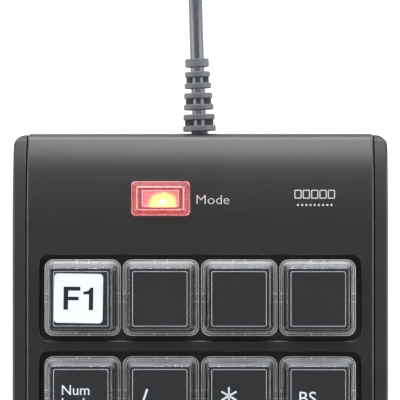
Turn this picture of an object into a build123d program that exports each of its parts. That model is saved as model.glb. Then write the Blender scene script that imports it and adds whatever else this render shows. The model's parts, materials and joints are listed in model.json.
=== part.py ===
from build123d import *

import os
from math import asin, cos, pi, radians, sin, tan

# A USB numeric keypad with relegendable keys: two-part key caps (a dark base under a clear cover) on a
# rubber dome sheet, a lit mode button, a two-part case, tilt feet and a captive lead with its plug.
# Millimetres. +Z is up, +Y is the rear edge where the lead leaves, and the rubber feet stand on z = 0.

os.makedirs("parts", exist_ok=True)

# ---------------------------------------------------------------- driving dimensions: case
BODY_WIDTH = 91.2
BODY_DEPTH = 156.0
RAIL_WIDTH = 3.15  # side rail of the bottom case, beside the top cover
GROOVE = 0.35  # open line between a rail and the top cover
PANEL_WIDTH = BODY_WIDTH - 2 * (RAIL_WIDTH + GROOVE)
PANEL_OVERHANG = 0.3  # the top cover stands out this far past the case, front and rear
WALL = 2.0
CASE_WALL = 2.2
FLOOR_Z = 1.0  # underside of the case
DECK_Z = 19.5  # flat top of the panel
RAIL_DROP = 0.4  # the rails lie this far below the panel
PARTING_Z = 10.5
PARTING_GAP = 0.2
CORNER_R = 3.0
RAIL_EDGE_R = 0.7
BASE_EDGE_R = 1.2

# The rear of the deck rolls down in two arcs and a nose; the front edge is one round.
ROLL_RUN, ROLL_R = 14.0, 90.0
DROP_RUN, DROP_R = 7.5, 28.0
NOSE_R = 3.0
FRONT_R = 5.0

# ---------------------------------------------------------------- driving dimensions: keys
PITCH = 19.0
KEY_SIZE = 18.45
COLUMNS = [-1.5 * PITCH, -0.5 * PITCH, 0.5 * PITCH, 1.5 * PITCH]
FUNCTION_ROW = 38.4
MAIN_ROWS = [14.9 - PITCH * row for row in range(5)]
KEY_TRAVEL = 3.5
COVER_HEIGHT = 9.5
LIP_HEIGHT = 1.0
BASE_HEIGHT = 8.2

WELL_WIDTH = 78.0
WELL_CORNER_R = 2.4
SURROUND = 1.5  # the block round the wells reaches this far past them, front and rear
WELL_EDGE_R = 0.35
UPPER_WELL = (28.0, 48.8)  # front and rear edge of each well
LOWER_WELL = (-71.5, 25.3)
GUIDE_BOTTOM = 13.0  # the guide plate is the floor of both wells
GUIDE_TOP = 14.5
SKIRT_Z = GUIDE_TOP + KEY_TRAVEL + 0.3  # bottom of a key's skirt at rest

PLUNGER = 5.6
PLUNGER_BORE = 6.0
CHIMNEY = 8.4
CHIMNEY_TOP = 19.2
POST_R = 1.5
POST_BORE_R = 1.7
POST_TUBE_R = 3.0
POST_TUBE_TOP = 17.5
COVER_NOTCHES = (3.0, 2.0, 0.7)  # widths of the snap notches front and rear, and at the sides; their height
BASE_TABS = (2.6, 1.6, 0.55)  # the same of the tabs that fill them
CATCH = (0.5, 2.4, 0.7)  # how far a plunger's catches stand out, their depth and height

# ---------------------------------------------------------------- driving dimensions: inside
BOARD_Z = 6.5
BOARD_T = 1.6
BOARD_TOP = BOARD_Z + BOARD_T
SHEET_T = 0.4
SHEET_TOP = BOARD_TOP + SHEET_T
DOME_TOP = 12.2
REAR_SCREWS = [(-PITCH, 53.5), (PITCH, 53.5)]
WELL_SCREWS = [(x, y) for x in (-PITCH, PITCH) for y in (-13.6, -51.6)]
SCREWS = REAR_SCREWS + WELL_SCREWS
BOARD_SIZE = (79.0, 146.5, 1.5)
BOARD_Y = -0.25
SOCKET_SIZE = (9.0, 5.0, 5.0)  # lead socket on the board
CHIP = (9.5, 59.0, 9.0, 1.4)  # x, y, side and height of the controller
RESISTOR = (2.0, 1.2, 0.6)
SHEET_SIZE = (76.0, 118.5, 2.0)
SHEET_Y = -11.75
DOME_R = (5.2, 2.9)  # outside of a dome at its foot and crown
DOME_INNER_R = (4.6, 2.2)
DOME_ROOF = 0.8
CONTACT_R = 1.5  # conductive pill under each dome's crown
BOSS_R = 2.6
SHOULDER_R = 3.8
PAD_TOP = 6.0
PILOT_R = 1.15
SHANK_R = 1.3
HEAD_R = 2.5
HEAD_SEAT_Z = 3.4
SHANK_LENGTH = 8.0
HEAD_T = 1.8
CROSS = (2.8, 0.7, 1.2)  # length, width and depth of the cross recess

MODE_X, MODE_Y = -9.6, 62.5
MODE_TRAVEL = 0.8
MODE_SIZE = (14.0, 8.15)
MODE_FLANGE_Z = 15.6
MODE_FLANGE = (0.7, 0.8)  # how far the flange stands out, and its thickness
MODE_RIM_RISE = 0.5  # the cap's rim stands this far out of the panel
MODE_CROWN = (1.8, 2.6)  # height of the tapered crown, and how much narrower it ends
MODE_CAVITY = (11.4, 6.4)
MODE_SKIRT = (18.4, 12.2, 16.2, 10.2)  # outside and inside of the skirt under the panel
MODE_SKIRT_Z = 13.6
LEG_X = 4.9  # the button's two legs stand this far each side of its centre
SLOT_BOTTOM = BOARD_TOP + 1.2  # floor of the slots that the legs slide in
LEG_BOTTOM = SLOT_BOTTOM + MODE_TRAVEL + 0.4
LEG_SIZE = (1.2, 4.0)
SWITCH_SIZE = (13.0, 8.0, 4.0)
LED_R = 1.5
LED_BASE = (1.9, 1.0)  # radius and height of the LED's collar
LED_TALL = 4.6

FOOT_R = 4.0
RUBBER_FEET = [(x, y) for x in (-36.0, 36.0) for y in (44.0, -69.0)]
TILT_X = 31.0  # centre of each tilt foot, left and right
TILT_WIDTH = 13.6
TILT_T = 2.8
TILT_TIP_Y = 56.0
TILT_AXIS = (69.5, 2.7)  # y, z of the hinge pins
TILT_PIN_R = 1.05
RECESS = (53.0, 71.2, 4.5)  # front, rear and roof of the recess a tilt foot folds into
SEAT_DEPTH = 0.6  # the rubber feet sit this deep in the case

# ---------------------------------------------------------------- driving dimensions: lead
CORD_R = 1.7
BOARD_PLUG_REAR = 71.8  # rear face of the lead's socket on the board, where the lead begins
LEAN = 0.038  # sideways run of the strain relief for each millimetre it goes back
NECK_R = 2.0
DISC_COUNT = 7
DISC_FIRST_R, DISC_LAST_R = 4.03, 2.92
DISC_T = 1.35
SLOT_T = (1.42, 1.12)  # slots with side webs and slots with upright webs, in turn
WEB_T = 1.4
WEB_INSET = 0.55  # a web ends this far inside the disc's rim
RELIEF_FLANGE = (2.0, 3.6, 1.6)  # start along the axis, radius and thickness of the inner flange

COIL_CENTRE = (14.3, 172.0)
COIL_MEAN_R = 17.5
COIL_SECTION = (14.0, 12.3)  # radial width and height of the wound turns
PLUG_X, PLUG_Y, PLUG_Z = 36.8, 151.0, 4.1  # where the lead enters the plug

# The plug's sections, measured forwards from where the lead enters.
GRIP_NECK = (2.6, 5.0)  # radius and length
GRIP_WAIST = (9.0, 6.0, 1.8)
GRIP_BODY = (15.4, 8.0, 2.2)
GRIP_SHOULDER = (4.5, 8.5)  # where the grip starts to widen, and where it is full
GRIP_LENGTH = 22.0
SHELL = (12.0, 4.5, 0.5)
SHELL_WALL = 0.3
SHELL_SINK = 3.0  # length of the shell inside the grip
SHELL_LENGTH = 15.0
SHELL_BACK = 1.5
LATCH = (2.5, 2.2, 5.5)  # width and length of the shell's windows, and their distance from the grip

# Hand-laid route of the lead from the board to the coil: straight through the relief, then down.
LEAD_ROUTE = [
    (0.0, 71.8, 10.5),
    (-0.9, 96.0, 10.5),
    (-1.4, 115.0, 8.9),
    (-3.0, 134.0, 3.6),
    (-6.0, 150.0, 1.7),
    (-7.7, 165.0, 1.7),
]
TAIL_ROUTE = [(36.6, 164.5, 4.1), (PLUG_X, PLUG_Y, PLUG_Z)]


# ================================================================ case
def side_profile(top, rear, front, base):
    """Side outline of the body, seen along X: flat deck, rolled rear edge, rounded front edge."""
    roll = asin(ROLL_RUN / ROLL_R)
    drop = asin(ROLL_RUN / ROLL_R + DROP_RUN / DROP_R)
    nose_run = NOSE_R * (1 - sin(drop))
    deck_end = rear - ROLL_RUN - DROP_RUN - nose_run
    roll_z = top - ROLL_R * (1 - cos(roll))
    drop_z = roll_z - DROP_R * (cos(roll) - cos(drop))
    nose_z = drop_z - NOSE_R * cos(drop)
    with BuildLine() as outline:
        deck = Line((front + FRONT_R, top), (deck_end, top))
        rolled = TangentArc(deck @ 1, (deck_end + ROLL_RUN, roll_z), tangent=deck % 1)
        dropped = TangentArc(rolled @ 1, (rear - nose_run, drop_z), tangent=rolled % 1)
        nose = TangentArc(dropped @ 1, (rear, nose_z), tangent=dropped % 1)
        Polyline(nose @ 1, (rear, base), (front, base), (front, top - FRONT_R))
        TangentArc((front, top - FRONT_R), (front + FRONT_R, top), tangent=(0, 1))
    make_face(outline.edges())


CASE_REAR = BODY_DEPTH / 2
PANEL_REAR = CASE_REAR + PANEL_OVERHANG
PANEL_FRONT = -PANEL_REAR
RAIL_INNER = PANEL_WIDTH / 2 + GROOVE
COVER_BASE = PARTING_Z + PARTING_GAP
HIGH = 40.0  # taller than the body, for cuts that run out of its top
RELIEF_PLANE = Plane(origin=LEAD_ROUTE[0], x_dir=(1, LEAN, 0), z_dir=(-LEAN, 1, 0))


def side_edges(body, width, low, high):
    """Edges on both flanks of a body of this width, between two heights."""
    def on_flank(edge):
        centre = edge.center()
        return abs(abs(centre.X) - width / 2) < 1e-4 and low < centre.Z < high

    return body.edges().filter_by(on_flank)


def cut_relief_notch():
    """Half-round notch for the strain relief's neck, in the open part."""
    with BuildSketch(RELIEF_PLANE.offset(2.5)) as notch:
        Circle(NECK_R + 0.15)
    extrude(notch.sketch, amount=6.0, mode=Mode.SUBTRACT)


KEYS = [
    # name, x, y, units wide, units deep
    ("key_f1", COLUMNS[0], FUNCTION_ROW, 1, 1),
    ("key_blank_1", COLUMNS[1], FUNCTION_ROW, 1, 1),
    ("key_blank_2", COLUMNS[2], FUNCTION_ROW, 1, 1),
    ("key_blank_3", COLUMNS[3], FUNCTION_ROW, 1, 1),
    ("key_num_lock", COLUMNS[0], MAIN_ROWS[0], 1, 1),
    ("key_slash", COLUMNS[1], MAIN_ROWS[0], 1, 1),
    ("key_asterisk", COLUMNS[2], MAIN_ROWS[0], 1, 1),
    ("key_backspace", COLUMNS[3], MAIN_ROWS[0], 1, 1),
    ("key_7", COLUMNS[0], MAIN_ROWS[1], 1, 1),
    ("key_8", COLUMNS[1], MAIN_ROWS[1], 1, 1),
    ("key_9", COLUMNS[2], MAIN_ROWS[1], 1, 1),
    ("key_minus", COLUMNS[3], MAIN_ROWS[1], 1, 1),
    ("key_4", COLUMNS[0], MAIN_ROWS[2], 1, 1),
    ("key_5", COLUMNS[1], MAIN_ROWS[2], 1, 1),
    ("key_6", COLUMNS[2], MAIN_ROWS[2], 1, 1),
    ("key_plus", COLUMNS[3], MAIN_ROWS[2], 1, 1),
    ("key_1", COLUMNS[0], MAIN_ROWS[3], 1, 1),
    ("key_2", COLUMNS[1], MAIN_ROWS[3], 1, 1),
    ("key_3", COLUMNS[2], MAIN_ROWS[3], 1, 1),
    ("key_0", COLUMNS[0] + PITCH / 2, MAIN_ROWS[4], 2, 1),
    ("key_decimal", COLUMNS[2], MAIN_ROWS[4], 1, 1),
    ("key_enter", COLUMNS[3], MAIN_ROWS[3] - PITCH / 2, 1, 2),
]
KEY_CENTRES = [(x, y) for _, x, y, _, _ in KEYS]
# A key two units long has a guide post each side of its plunger.
POST_CENTRES = [
    (x + side * PITCH / 2 * (wide - 1), y + side * PITCH / 2 * (deep - 1))
    for _, x, y, wide, deep in KEYS
    if wide + deep > 2
    for side in (-1, 1)
]

with BuildPart() as top_cover:
    with BuildSketch(Plane.YZ.offset(-PANEL_WIDTH / 2)):
        side_profile(DECK_Z, PANEL_REAR, PANEL_FRONT, COVER_BASE)
    extrude(amount=PANEL_WIDTH)
    # fine bevel along both sides of the panel
    chamfer(side_edges(top_cover, PANEL_WIDTH, COVER_BASE + 3, HIGH), length=0.35)
    # hollow inside, open below
    with BuildSketch(Plane.YZ.offset(-PANEL_WIDTH / 2 + WALL)):
        side_profile(DECK_Z, PANEL_REAR, PANEL_FRONT, COVER_BASE - 2 * WALL)
        offset(amount=-WALL, kind=Kind.INTERSECTION, mode=Mode.REPLACE)
    extrude(amount=PANEL_WIDTH - 2 * WALL, mode=Mode.SUBTRACT)
    # surround and floor of the two key wells
    surround_front, surround_rear = LOWER_WELL[0] - SURROUND, UPPER_WELL[1] + SURROUND
    with BuildSketch(Plane((0, (surround_front + surround_rear) / 2, GUIDE_BOTTOM))):
        Rectangle(PANEL_WIDTH - 2, surround_rear - surround_front)
    extrude(amount=DECK_Z - 0.5 - GUIDE_BOTTOM)
    for front, rear in (UPPER_WELL, LOWER_WELL):
        with BuildSketch(Plane((0, (front + rear) / 2, GUIDE_TOP))):
            RectangleRounded(WELL_WIDTH, rear - front, WELL_CORNER_R)
        extrude(amount=HIGH, mode=Mode.SUBTRACT)
    deck_face = top_cover.faces().filter_by(Axis.Z).sort_by(Axis.Z)[-1]
    fillet(deck_face.inner_wires().edges(), WELL_EDGE_R)
    # chimneys that guide the key plungers, and tubes for the long keys' guide posts
    with BuildSketch(Plane.XY.offset(GUIDE_BOTTOM)):
        with Locations(*KEY_CENTRES):
            RectangleRounded(CHIMNEY, CHIMNEY, 0.8)
    extrude(amount=CHIMNEY_TOP - GUIDE_BOTTOM)
    with BuildSketch(Plane.XY.offset(GUIDE_BOTTOM)):
        with Locations(*POST_CENTRES):
            Circle(POST_TUBE_R)
    extrude(amount=POST_TUBE_TOP - GUIDE_BOTTOM)
    with BuildSketch(Plane.XY.offset(GUIDE_BOTTOM)):
        with Locations(*KEY_CENTRES):
            RectangleRounded(PLUNGER_BORE, PLUNGER_BORE, 0.4)
        with Locations(*POST_CENTRES):
            Circle(POST_BORE_R)
    extrude(amount=CHIMNEY_TOP - GUIDE_BOTTOM, mode=Mode.SUBTRACT)
    # screw bosses: a shoulder that holds the board down and a spigot through it
    for screws, shoulder_top in ((REAR_SCREWS, DECK_Z - 1.0), (WELL_SCREWS, GUIDE_BOTTOM)):
        with BuildSketch(Plane.XY.offset(SHEET_TOP)):
            with Locations(*screws):
                Circle(SHOULDER_R)
        extrude(amount=shoulder_top - SHEET_TOP)
    with BuildSketch(Plane.XY.offset(PAD_TOP)):
        with Locations(*SCREWS):
            Circle(BOSS_R)
    extrude(amount=SHEET_TOP - PAD_TOP)
    with BuildSketch(Plane.XY.offset(PAD_TOP)):
        with Locations(*SCREWS):
            Circle(PILOT_R)
    extrude(amount=SHANK_LENGTH - 2.0, mode=Mode.SUBTRACT)
    # aperture of the mode button, with a skirt round it inside
    with BuildSketch(Plane((MODE_X, MODE_Y, MODE_SKIRT_Z))):
        RectangleRounded(*MODE_SKIRT[:2], 1.6)
        RectangleRounded(*MODE_SKIRT[2:], 1.0, mode=Mode.SUBTRACT)
    extrude(amount=4.0)
    with BuildSketch(Plane((MODE_X, MODE_Y, GUIDE_BOTTOM))):
        RectangleRounded(MODE_SIZE[0] + 0.5, MODE_SIZE[1] + 0.5, 1.0)
    extrude(amount=HIGH, mode=Mode.SUBTRACT)
    cut_relief_notch()
top_cover.part.label = "top_cover"; export_step(top_cover.part, "parts/top_cover.step")

with BuildPart() as bottom_case:
    with BuildSketch(Plane.YZ.offset(-BODY_WIDTH / 2)):
        side_profile(DECK_Z - RAIL_DROP, CASE_REAR, -CASE_REAR, FLOOR_Z)
    extrude(amount=BODY_WIDTH)
    fillet(side_edges(bottom_case, BODY_WIDTH, PARTING_Z + 2, HIGH), RAIL_EDGE_R)
    fillet(side_edges(bottom_case, BODY_WIDTH, 0, FLOOR_Z + 0.1), BASE_EDGE_R)
    with BuildSketch():
        RectangleRounded(BODY_WIDTH, BODY_DEPTH, CORNER_R)
    extrude(amount=HIGH, mode=Mode.INTERSECT)
    # tray, and the long slot between the rails that the top cover fills
    with BuildSketch(Plane.XY.offset(FLOOR_Z + WALL)):
        RectangleRounded(2 * RAIL_INNER, BODY_DEPTH - 2 * CASE_WALL, 1.0)
    extrude(amount=HIGH, mode=Mode.SUBTRACT)
    with BuildSketch(Plane.XY.offset(PARTING_Z)):
        Rectangle(2 * RAIL_INNER, 2 * BODY_DEPTH)
    extrude(amount=HIGH, mode=Mode.SUBTRACT)
    # pads under the bosses, and posts under the circuit board
    with BuildSketch(Plane.XY.offset(FLOOR_Z + WALL)):
        with Locations(*SCREWS):
            Circle(4.0)
    extrude(amount=PAD_TOP - FLOOR_Z - WALL)
    with BuildSketch(Plane.XY.offset(FLOOR_Z + WALL)):
        with Locations((0, 4)):
            with GridLocations(70, 56, 2, 3):
                Circle(1.8)
        with Locations((0, 30), (0, -32), (0, 66)):
            Circle(1.8)
    extrude(amount=BOARD_Z - FLOOR_Z - WALL)
    # recesses for the tilt feet, walled and roofed inside the tray
    recess_front, recess_rear, recess_roof = RECESS
    recess_y = (recess_front + recess_rear) / 2
    with BuildSketch(Plane((0, recess_y, FLOOR_Z + WALL))):
        with Locations((-TILT_X, 0), (TILT_X, 0)):
            Rectangle(TILT_WIDTH + 4.0, recess_rear - recess_front + 3.2)
    extrude(amount=recess_roof + 1.2 - FLOOR_Z - WALL)
    with BuildSketch(Plane((0, recess_y, FLOOR_Z))):
        with Locations((-TILT_X, 0), (TILT_X, 0)):
            Rectangle(TILT_WIDTH + 0.6, recess_rear - recess_front)
    extrude(amount=recess_roof - FLOOR_Z, mode=Mode.SUBTRACT)
    for side in (-1, 1):
        pin_start = side * TILT_X - TILT_WIDTH / 2 - 1.3
        with BuildSketch(Plane.YZ.offset(pin_start)):
            with Locations(TILT_AXIS):
                Circle(TILT_PIN_R + 0.08)
        extrude(amount=TILT_WIDTH + 2.6, mode=Mode.SUBTRACT)
    # counterbored screw holes and seats for the rubber feet
    with BuildSketch(Plane.XY.offset(FLOOR_Z)):
        with Locations(*SCREWS):
            Circle(HEAD_R + 0.5)
    extrude(amount=HEAD_SEAT_Z - FLOOR_Z, mode=Mode.SUBTRACT)
    with BuildSketch(Plane.XY.offset(FLOOR_Z)):
        with Locations(*SCREWS):
            Circle(SHANK_R + 0.2)
    extrude(amount=PAD_TOP - FLOOR_Z, mode=Mode.SUBTRACT)
    with BuildSketch(Plane.XY.offset(FLOOR_Z)):
        with Locations(*RUBBER_FEET):
            Circle(FOOT_R + 0.2)
    extrude(amount=SEAT_DEPTH, mode=Mode.SUBTRACT)
    cut_relief_notch()
bottom_case.part.label = "bottom_case"; export_step(bottom_case.part, "parts/bottom_case.step")


# ================================================================ keys
def frustum(seat, width, depth, sections, mode=Mode.ADD):
    """Tapered block: each section is (height, amount taken off the width and depth, corner radius)."""
    faces = []
    for height, less, corner in sections:
        with BuildSketch(seat.offset(height)) as section:
            RectangleRounded(width - less, depth - less, corner)
        faces.append(section.sketch)
    loft(faces, mode=mode)


def make_key(name, x, y, wide, deep):
    """One key: the clear cover with its snap notches, and the dark base with plunger and snap tabs."""
    width = KEY_SIZE + PITCH * (wide - 1)
    depth = KEY_SIZE + PITCH * (deep - 1)
    seat = Plane((x, y, SKIRT_Z))

    with BuildPart() as cover:
        with BuildSketch(seat):
            RectangleRounded(width, depth, 2.2)
        extrude(amount=LIP_HEIGHT)
        frustum(seat, width, depth, [(LIP_HEIGHT, 1.05, 1.7), (COVER_HEIGHT, 3.55, 0.8)])
        fillet(cover.faces().sort_by(Axis.Z)[-1].edges(), 0.25)
        frustum(seat, width, depth, [(0, 2.25, 1.4), (COVER_HEIGHT - 1, 5.25, 0.5)], Mode.SUBTRACT)
        with BuildSketch(seat):
            Rectangle(COVER_NOTCHES[0], depth + 1)
            Rectangle(width + 1, COVER_NOTCHES[1])
        extrude(amount=COVER_NOTCHES[2], mode=Mode.SUBTRACT)
    cover.part.label = f"{name}_cover"; export_step(cover.part, f"parts/{name}_cover.step")

    with BuildPart() as base:
        frustum(seat, width, depth, [(0, 2.45, 1.3), (BASE_HEIGHT, 5.55, 0.45)])
        frustum(seat, width, depth, [(0, 4.85, 0.8), (BASE_HEIGHT - 1.5, 7.95, 0.4)], Mode.SUBTRACT)
        with BuildSketch(seat):
            Rectangle(BASE_TABS[0], depth - 0.5)
            Rectangle(width - 0.5, BASE_TABS[1])
            Rectangle(width - 4.0, depth - 4.0, mode=Mode.SUBTRACT)
        extrude(amount=BASE_TABS[2])
        with BuildSketch(Plane((x, y, DOME_TOP))):
            RectangleRounded(PLUNGER, PLUNGER, 0.3)
        extrude(amount=SKIRT_Z + BASE_HEIGHT - 1.0 - DOME_TOP)
        # catches that keep the plunger in its chimney
        with BuildSketch(Plane((x, y, DOME_TOP))):
            Rectangle(PLUNGER_BORE + CATCH[0], CATCH[1])
        extrude(amount=CATCH[2])
        if wide + deep > 2:
            with BuildSketch(Plane((x, y, GUIDE_BOTTOM + 0.5))):
                with Locations((PITCH / 2 * (wide - 1), PITCH / 2 * (deep - 1))):
                    Circle(POST_R)
                with Locations((-PITCH / 2 * (wide - 1), -PITCH / 2 * (deep - 1))):
                    Circle(POST_R)
            extrude(amount=SKIRT_Z + BASE_HEIGHT - 1.5 - GUIDE_BOTTOM)
    base.part.label = f"{name}_base"; export_step(base.part, f"parts/{name}_base.step")


for key in KEYS:
    make_key(*key)

# ================================================================ mode button
with BuildPart() as mode_button:
    cap_plane = Plane((MODE_X, MODE_Y, MODE_FLANGE_Z))
    flange_out, flange_t = MODE_FLANGE
    crown, taper = MODE_CROWN
    rim = DECK_Z + MODE_RIM_RISE - MODE_FLANGE_Z
    with BuildSketch(cap_plane):
        RectangleRounded(MODE_SIZE[0] + 2 * flange_out, MODE_SIZE[1] + 2 * flange_out, 0.9)
    extrude(amount=flange_t)
    with BuildSketch(cap_plane):
        RectangleRounded(*MODE_SIZE, 0.8)
    extrude(amount=rim)
    frustum(cap_plane, *MODE_SIZE, [(rim, 0.0, 0.8), (rim + crown, taper, 0.5)])
    fillet(mode_button.faces().sort_by(Axis.Z)[-1].edges(), 0.2)
    frustum(cap_plane, *MODE_CAVITY, [(0, 0.0, 0.6), (rim + crown / 3, taper, 0.4)], Mode.SUBTRACT)
    # two legs, each joined to the cap by a foot across the cavity's edge
    leg_t, leg_depth = LEG_SIZE
    with BuildSketch(Plane((MODE_X, MODE_Y, LEG_BOTTOM))):
        with Locations((-LEG_X, 0), (LEG_X, 0)):
            Rectangle(leg_t, leg_depth)
    extrude(amount=MODE_FLANGE_Z - LEG_BOTTOM)
    with BuildSketch(cap_plane):
        with Locations((-LEG_X - leg_t / 2, 0), (LEG_X + leg_t / 2, 0)):
            Rectangle(2 * leg_t, leg_depth)
    extrude(amount=flange_t)
mode_button.part.label = "mode_button"; export_step(mode_button.part, "parts/mode_button.step")

with BuildPart() as mode_switch:
    switch_width, switch_depth, switch_tall = SWITCH_SIZE
    with BuildSketch(Plane((MODE_X, MODE_Y, BOARD_TOP))):
        RectangleRounded(switch_width, switch_depth, 0.5)
        Circle(LED_BASE[0] + 0.3, mode=Mode.SUBTRACT)
    extrude(amount=switch_tall)
    with BuildSketch(Plane((MODE_X, MODE_Y, SLOT_BOTTOM))):
        with Locations((-LEG_X, 0), (LEG_X, 0)):
            Rectangle(leg_t + 0.4, leg_depth + 0.4)
    extrude(amount=switch_tall, mode=Mode.SUBTRACT)
mode_switch.part.label = "mode_switch"; export_step(mode_switch.part, "parts/mode_switch.step")

with BuildPart() as mode_led:
    with BuildSketch(Plane((MODE_X, MODE_Y, BOARD_TOP))):
        Circle(LED_BASE[0])
    extrude(amount=LED_BASE[1])
    with BuildSketch(Plane((MODE_X, MODE_Y, BOARD_TOP))):
        Circle(LED_R)
    extrude(amount=LED_TALL)
    with Locations((MODE_X, MODE_Y, BOARD_TOP + LED_TALL)):
        Sphere(LED_R)
mode_led.part.label = "mode_led"; export_step(mode_led.part, "parts/mode_led.step")

# ================================================================ inside
with BuildPart() as rubber_dome_sheet:
    with BuildSketch(Plane((0, SHEET_Y, BOARD_TOP))):
        RectangleRounded(*SHEET_SIZE)
    extrude(amount=SHEET_T)
    for centre in KEY_CENTRES:
        dome_plane = Plane((*centre, SHEET_TOP))
        with BuildSketch(dome_plane):
            Circle(DOME_R[0])
        with BuildSketch(dome_plane.offset(DOME_TOP - SHEET_TOP)):
            Circle(DOME_R[1])
        loft()
        with BuildSketch(dome_plane.offset(-SHEET_T)):
            Circle(DOME_INNER_R[0])
        with BuildSketch(dome_plane.offset(DOME_TOP - SHEET_TOP - DOME_ROOF)):
            Circle(DOME_INNER_R[1])
        loft(mode=Mode.SUBTRACT)
    with BuildSketch(Plane.XY.offset(SHEET_TOP + 1.5)):
        with Locations(*KEY_CENTRES):
            Circle(CONTACT_R)
    extrude(amount=DOME_TOP - SHEET_TOP - 2.0)
    with BuildSketch(Plane.XY.offset(BOARD_TOP)):
        with Locations(*SCREWS):
            Circle(BOSS_R + 0.3)
    extrude(amount=SHEET_T, mode=Mode.SUBTRACT)
rubber_dome_sheet.part.label = "rubber_dome_sheet"
export_step(rubber_dome_sheet.part, "parts/rubber_dome_sheet.step")

with BuildPart() as circuit_board:
    with BuildSketch(Plane((0, BOARD_Y, BOARD_Z))):
        RectangleRounded(*BOARD_SIZE)
        with Locations(*[(x, y - BOARD_Y) for x, y in SCREWS]):
            Circle(BOSS_R + 0.4, mode=Mode.SUBTRACT)
    extrude(amount=BOARD_T)
    # socket of the lead, controller chip and resistors
    socket_width, socket_depth, socket_tall = SOCKET_SIZE
    with BuildSketch(Plane((0, BOARD_PLUG_REAR - socket_depth / 2, BOARD_TOP))):
        Rectangle(socket_width, socket_depth)
    extrude(amount=socket_tall)
    chip_x, chip_y, chip_side, chip_tall = CHIP
    with BuildSketch(Plane((chip_x, chip_y, BOARD_TOP))):
        Rectangle(chip_side, chip_side)
    extrude(amount=chip_tall)
    with BuildSketch(Plane((0, chip_y - 5.0, BOARD_TOP))):
        with GridLocations(2 * RESISTOR[0], 0, 3, 1):
            Rectangle(*RESISTOR[:2])
    extrude(amount=RESISTOR[2])
circuit_board.part.label = "circuit_board"; export_step(circuit_board.part, "parts/circuit_board.step")

with BuildPart() as case_screws:
    with BuildSketch(Plane.XY.offset(HEAD_SEAT_Z - HEAD_T)):
        with Locations(*SCREWS):
            Circle(HEAD_R)
    extrude(amount=HEAD_T)
    with BuildSketch(Plane.XY.offset(HEAD_SEAT_Z)):
        with Locations(*SCREWS):
            Circle(SHANK_R)
    extrude(amount=SHANK_LENGTH)
    # cross recess in each head
    cross_length, cross_width, cross_depth = CROSS
    with BuildSketch(Plane.XY.offset(HEAD_SEAT_Z - HEAD_T)):
        with Locations(*SCREWS):
            Rectangle(cross_length, cross_width)
            Rectangle(cross_width, cross_length)
    extrude(amount=cross_depth, mode=Mode.SUBTRACT)
case_screws.part.label = "case_screws"; export_step(case_screws.part, "parts/case_screws.step")

# ================================================================ feet
with BuildPart() as rubber_feet:
    with BuildSketch():
        with Locations(*RUBBER_FEET):
            Circle(FOOT_R)
    extrude(amount=FLOOR_Z + SEAT_DEPTH)
    chamfer(rubber_feet.faces().filter_by(Axis.Z).group_by(Axis.Z)[0].edges(), length=0.4)
rubber_feet.part.label = "rubber_feet"; export_step(rubber_feet.part, "parts/rubber_feet.step")


def make_tilt_foot(name, x):
    """Folding leg: a slab with a rounded hinge end, pins at both sides and grip ribs at its tip."""
    axis_y, axis_z = TILT_AXIS
    with BuildPart() as foot:
        with BuildSketch(Plane.YZ.offset(x - TILT_WIDTH / 2)):
            with Locations(TILT_AXIS):
                Circle(TILT_T / 2)
            with Locations(((TILT_TIP_Y + axis_y) / 2, axis_z)):
                Rectangle(axis_y - TILT_TIP_Y, TILT_T)
        extrude(amount=TILT_WIDTH)
        with BuildSketch(Plane.YZ.offset(x - TILT_WIDTH / 2 - 1.0)):
            with Locations(TILT_AXIS):
                Circle(TILT_PIN_R)
        extrude(amount=TILT_WIDTH + 2.0)
        tip = foot.faces().filter_by(Axis.Y).sort_by(Axis.Y)[0]
        fillet(tip.edges(), 0.6)
        with BuildSketch(Plane((x, TILT_TIP_Y + 3.5, axis_z - TILT_T / 2))):
            with GridLocations(0, 1.8, 1, 3):
                Rectangle(TILT_WIDTH - 4.0, 0.8)
        extrude(amount=0.4, mode=Mode.SUBTRACT)
    foot.part.label = name; export_step(foot.part, f"parts/{name}.step")


make_tilt_foot("left_tilt_foot", -TILT_X)
make_tilt_foot("right_tilt_foot", TILT_X)

# ================================================================ lead
RELIEF_START = PANEL_REAR - BOARD_PLUG_REAR + 0.7  # first disc, measured along the relief's axis
with BuildPart() as strain_relief:
    # inner flange, then the neck through the wall
    flange_start, flange_r, flange_thick = RELIEF_FLANGE
    with BuildSketch(RELIEF_PLANE.offset(flange_start)):
        Circle(flange_r)
    extrude(amount=flange_thick)
    with BuildSketch(RELIEF_PLANE.offset(flange_start)):
        Circle(NECK_R)
    extrude(amount=RELIEF_START - flange_start)
    start = RELIEF_START
    for disc in range(DISC_COUNT):
        radius = DISC_FIRST_R + (DISC_LAST_R - DISC_FIRST_R) * disc / (DISC_COUNT - 1)
        last = disc == DISC_COUNT - 1
        thickness = 2.05 if last else DISC_T
        with BuildSketch(RELIEF_PLANE.offset(start)):
            Circle(radius)
        extrude(amount=thickness)
        if not last:
            # two webs join this disc to the next, alternately at the sides and above and below
            slot = SLOT_T[disc % 2]
            span = 2 * (radius - WEB_INSET)
            with BuildSketch(RELIEF_PLANE.offset(start + thickness - 0.1)):
                Rectangle(*((span, WEB_T) if disc % 2 == 0 else (WEB_T, span)))
            extrude(amount=slot + 0.2)
            start += thickness + slot
    relief_end = start + thickness
    rims = strain_relief.edges().filter_by(GeomType.CIRCLE)
    chamfer(rims.filter_by(lambda edge: edge.radius > DISC_LAST_R - 0.01), length=0.18)
    with BuildSketch(RELIEF_PLANE):
        Circle(CORD_R)
    extrude(amount=relief_end + 1, mode=Mode.SUBTRACT)
strain_relief.part.label = "strain_relief"; export_step(strain_relief.part, "parts/strain_relief.step")


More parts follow.
